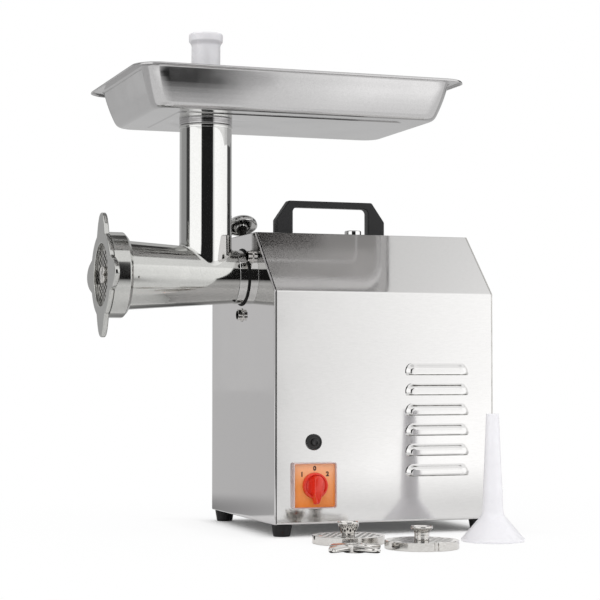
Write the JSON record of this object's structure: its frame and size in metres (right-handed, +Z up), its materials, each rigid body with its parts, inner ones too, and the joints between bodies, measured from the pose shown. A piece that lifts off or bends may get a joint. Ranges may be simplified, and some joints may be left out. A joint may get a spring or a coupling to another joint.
{
  "type": "electric meat grinder",
  "caption": "Sheet steel electric meat grinder with a cone shaped grinding head, pan tray, pusher, carrying handle, rotary switch, and loose plates, knife and stuffing funnel.",
  "frame": {"origin": "on the standing surface, midway between the four feet", "axes": "the grinding head points to -X, the control side faces -Y, +Z is up"},
  "size_m": [0.4148, 0.4144, 0.5218],
  "materials": {
    "polished_steel": "mirror polished stainless sheet",
    "cast_steel": "polished cast stainless steel",
    "turned_steel": "turned and ground steel",
    "zinc_screws": "bright zinc plate",
    "chrome_plate": "bright chrome plate",
    "plain_sheet": "plain galvanised sheet",
    "black_rubber": "moulded black rubber",
    "handle_black": "black satin coating",
    "black_plastic": "moulded black plastic",
    "button_black": "glossy black plastic",
    "white_plastic": "milky food grade plastic",
    "orange_plastic": "orange plastic",
    "clear_plastic": "clear plastic",
    "red_plastic": "red plastic",
    "cast_aluminium": "cast and part machined",
    "motor_paint": "dark grey enamel",
    "core_iron": "laminated iron",
    "copper_wire": null,
    "bronze": "machined bronze",
    "fan_plastic": "moulded nylon",
    "capacitor_case": "moulded plastic can"
  },
  "bodies": {
    "housing": {"body_shell": "polished_steel", "front_panel": "polished_steel", "rear_panel": "polished_steel", "base_plate": "plain_sheet", "panel_screws": "zinc_screws", "foot_front_left": "black_rubber", "foot_front_right": "black_rubber", "foot_rear_left": "black_rubber", "foot_rear_right": "black_rubber", "foot_screws": "zinc_screws", "top_handle": "handle_black", "handle_screws": "zinc_screws", "roof_plug": "chrome_plate", "neck_socket": "turned_steel", "neck_gasket": "black_rubber", "flange_bolts": "zinc_screws", "gearbox_front": "cast_aluminium", "gearbox_rear": "cast_aluminium", "gearbox_bolts": "zinc_screws", "shaft_seal": "black_rubber", "ball_bearings": "turned_steel", "motor_frame": "motor_paint", "motor_front_bell": "cast_aluminium", "motor_rear_bell": "cast_aluminium", "stator_core": "core_iron", "stator_windings": "copper_wire", "motor_cradle": "plain_sheet", "run_capacitor": "capacitor_case", "capacitor_clamp": "plain_sheet", "switch_body": "black_plastic", "switch_plate": "orange_plastic", "switch_frame": "clear_plastic", "breaker_body": "black_plastic", "breaker_nut": "black_plastic", "cable_gland": "black_plastic", "gland_nut": "black_plastic"},
    "rotor": {"rotor_shaft": "turned_steel", "rotor_core": "core_iron", "motor_pinion": "turned_steel", "cooling_fan": "fan_plastic"},
    "middle_wheel": {"middle_gear": "turned_steel"},
    "output": {"output_shaft": "turned_steel", "output_gear": "bronze"},
    "head": {"barrel": "cast_steel", "plate_key": "turned_steel", "tail_bush": "bronze"},
    "feed_screw": {"auger": "cast_steel", "auger_shaft": "turned_steel", "cross_knife": "turned_steel"},
    "plate": {"cutting_plate": "turned_steel"},
    "ring": {"retaining_ring": "cast_steel"},
    "tray": {"tray": "polished_steel"},
    "pusher": {"pusher": "white_plastic"},
    "lock": {"lock_knob": "chrome_plate"},
    "knob": {"switch_knob": "red_plastic"},
    "button": {"reset_button": "button_black"},
    "plate_a": {"spare_plate_a": "turned_steel"},
    "plate_b": {"spare_plate_b": "turned_steel"},
    "knife": {"spare_knife": "turned_steel"},
    "funnel": {"stuffing_funnel": "white_plastic"}
  },
  "joints": [
    {"name": "rotor_spin", "type": "hinge", "parent": "housing", "child": "rotor", "pos_m": [0.017, 0, 0.184], "axis": [1, 0, 0], "continuous": true},
    {"name": "middle_spin", "type": "hinge", "parent": "housing", "child": "middle_wheel", "pos_m": [-0.0715, 0, 0.22], "axis": [1, 0, 0], "continuous": true},
    {"name": "output_spin", "type": "hinge", "parent": "housing", "child": "output", "pos_m": [-0.08, 0, 0.265], "axis": [1, 0, 0], "continuous": true},
    {"name": "head_slide", "type": "slide", "parent": "housing", "child": "head", "axis": [-1, 0, 0], "range_m": [0, 0.12]},
    {"name": "auger_spin", "type": "hinge", "parent": "head", "child": "feed_screw", "pos_m": [-0.19, 0, 0.265], "axis": [1, 0, 0], "continuous": true},
    {"name": "plate_out", "type": "slide", "parent": "head", "child": "plate", "axis": [-1, 0, 0], "range_m": [0, 0.0091]},
    {"name": "ring_turn", "type": "hinge", "parent": "plate", "child": "ring", "pos_m": [-0.26, 0, 0.265], "axis": [-1, 0, 0], "range_deg": [0, 1080]},
    {"name": "tray_lift", "type": "slide", "parent": "head", "child": "tray", "axis": [0, 0, 1], "range_m": [0, 0.1]},
    {"name": "pusher_lift", "type": "slide", "parent": "head", "child": "pusher", "axis": [0, 0, 1], "range_m": [0, 0.2]},
    {"name": "lock_turn", "type": "hinge", "parent": "housing", "child": "lock", "pos_m": [-0.111, 0.02771, 0.31822], "axis": [0, 0.4617, 0.887], "range_deg": [0, 720]},
    {"name": "switch_turn", "type": "hinge", "parent": "housing", "child": "knob", "pos_m": [-0.0785, -0.115, 0.051], "axis": [0, -1, 0], "range_deg": [-45, 45]},
    {"name": "reset_push", "type": "slide", "parent": "housing", "child": "button", "axis": [0, 1, 0], "range_m": [0, 0.002], "stiffness_N_per_m": 400},
    {"name": "plate_a_lift", "type": "slide", "parent": "housing", "child": "plate_a", "axis": [0, 0, 1], "range_m": [0, 0.1]},
    {"name": "plate_b_lift", "type": "slide", "parent": "housing", "child": "plate_b", "axis": [0, 0, 1], "range_m": [0, 0.1]},
    {"name": "knife_lift", "type": "slide", "parent": "housing", "child": "knife", "axis": [0, 0, 1], "range_m": [0, 0.1]},
    {"name": "funnel_lift", "type": "slide", "parent": "housing", "child": "funnel", "axis": [0, 0, 1], "range_m": [0, 0.1]}
  ],
  "couplings": [
    {"joint": "middle_spin", "follows": "rotor_spin", "ratio": -0.33333},
    {"joint": "output_spin", "follows": "rotor_spin", "ratio": 0.11111},
    {"joint": "auger_spin", "follows": "rotor_spin", "ratio": 0.11111},
    {"joint": "plate_out", "follows": "ring_turn", "m_per_rad": 0.00047746}
  ]
}
